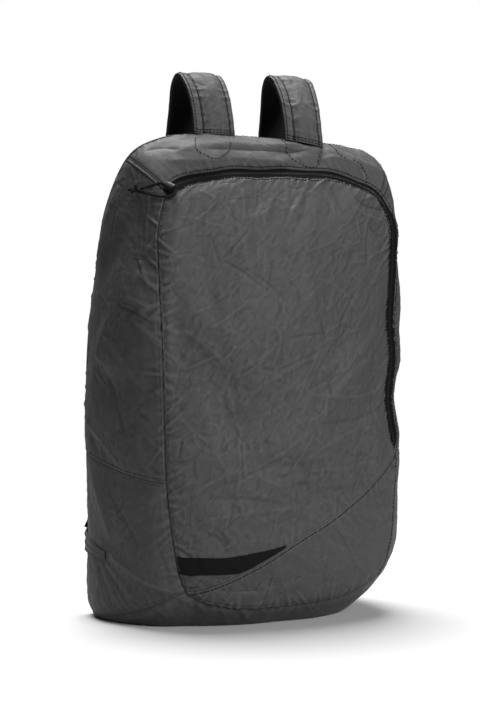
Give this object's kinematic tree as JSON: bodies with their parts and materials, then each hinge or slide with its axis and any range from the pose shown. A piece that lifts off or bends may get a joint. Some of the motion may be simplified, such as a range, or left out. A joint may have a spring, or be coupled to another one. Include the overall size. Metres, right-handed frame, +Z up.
{
  "type": "packable backpack",
  "caption": "Soft zipped daypack of thin crinkled nylon, standing on its base, with shoulder straps arching over the top seam.",
  "frame": {"origin": "on the floor under the seam that carries the shoulder straps, in the middle of the front panel's width; it lies on the flat middle of the bottom panel", "axes": "+Z up, -Y the way the zipped front faces, +X to the right as seen from the front"},
  "size_m": [0.3005, 0.1844, 0.5089],
  "materials": {
    "crinkled_nylon": "thin crumpled nylon with a faint sheen",
    "black_tape": "woven polyester tape, matte",
    "black_coil": "nylon zip coil",
    "black_band": "smooth coated strip",
    "black_mesh": "open spacer mesh",
    "black_plastic": "moulded acetal",
    "dark_metal": "dark enamelled zinc",
    "black_cord": "braided cord"
  },
  "bodies": {
    "root": {"front_panel": "crinkled_nylon", "front_lower_panel": "crinkled_nylon", "side_panel_left": "crinkled_nylon", "side_panel_left_lower": "crinkled_nylon", "side_panel_right": "crinkled_nylon", "side_panel_right_lower": "crinkled_nylon", "top_panel": "crinkled_nylon", "bottom_panel": "crinkled_nylon", "back_panel": "crinkled_nylon", "strap_cover_left": "crinkled_nylon", "strap_cover_right": "crinkled_nylon", "anchor_tab_left": "crinkled_nylon", "anchor_tab_right": "crinkled_nylon", "zip_tape_inner": "black_tape", "zip_tape_outer": "black_tape", "webbing_left": "black_tape", "webbing_right": "black_tape", "zip_coil": "black_coil", "accent_band": "black_band", "strap_mesh_left": "black_mesh", "strap_mesh_right": "black_mesh", "strap_buckle_left": "black_plastic", "strap_buckle_right": "black_plastic", "zip_slider": "dark_metal", "pull_cord": "black_cord", "cord_knot": "black_cord"}
  },
  "joints": []
}
